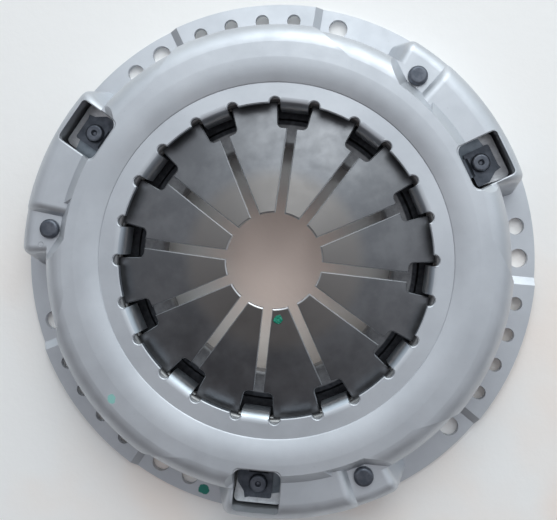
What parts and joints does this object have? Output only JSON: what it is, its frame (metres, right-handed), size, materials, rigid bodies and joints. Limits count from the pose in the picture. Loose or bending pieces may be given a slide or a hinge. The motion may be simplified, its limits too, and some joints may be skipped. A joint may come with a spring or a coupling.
{
  "type": "clutch pressure plate",
  "caption": "Clutch cover with a diaphragm spring, a sliding pressure plate on leaf straps, strap tunnels with windows, and a drilled mounting flange.",
  "frame": {"origin": "on the main axis, in the plane of the flange's seat on the flywheel", "axes": "+Z along the main axis towards the gearbox, +Y through the middle of a raised stretch of the flange"},
  "size_m": [0.2434, 0.2434, 0.0359],
  "materials": {
    "cover_steel": "satin pressed steel",
    "spring_steel": "dark tempered steel",
    "wire_steel": "drawn wire",
    "plate_iron": "machined and cast grey iron",
    "strap_steel": "blued strip",
    "rivet_steel": "dark oxide",
    "clip_steel": "dark oxide"
  },
  "bodies": {
    "cover": {"cover": "cover_steel", "diaphragm_spring": "spring_steel", "upper_fulcrum_ring": "wire_steel", "lower_fulcrum_ring": "wire_steel", "cover_rivet_1": "rivet_steel", "cover_rivet_2": "rivet_steel", "cover_rivet_3": "rivet_steel", "strap_leaf_1_1": "strap_steel", "strap_leaf_1_2": "strap_steel", "strap_leaf_1_3": "strap_steel", "strap_leaf_2_1": "strap_steel", "strap_leaf_2_2": "strap_steel", "strap_leaf_2_3": "strap_steel", "strap_leaf_3_1": "strap_steel", "strap_leaf_3_2": "strap_steel", "strap_leaf_3_3": "strap_steel"},
    "pressure_plate": {"pressure_plate": "plate_iron", "lug_rivet_1": "rivet_steel", "lug_rivet_2": "rivet_steel", "lug_rivet_3": "rivet_steel", "retracting_clip_1": "clip_steel", "retracting_clip_2": "clip_steel", "retracting_clip_3": "clip_steel"}
  },
  "joints": [
    {"name": "plate_lift", "type": "slide", "parent": "cover", "child": "pressure_plate", "axis": [0, 0, 1], "range_m": [0, 0.0039], "stiffness_N_per_m": 20000, "deforming": ["diaphragm_spring", "strap_leaf_1_1", "strap_leaf_1_2", "strap_leaf_1_3", "strap_leaf_2_1", "strap_leaf_2_2", "strap_leaf_2_3", "strap_leaf_3_1", "strap_leaf_3_2", "strap_leaf_3_3"]}
  ]
}
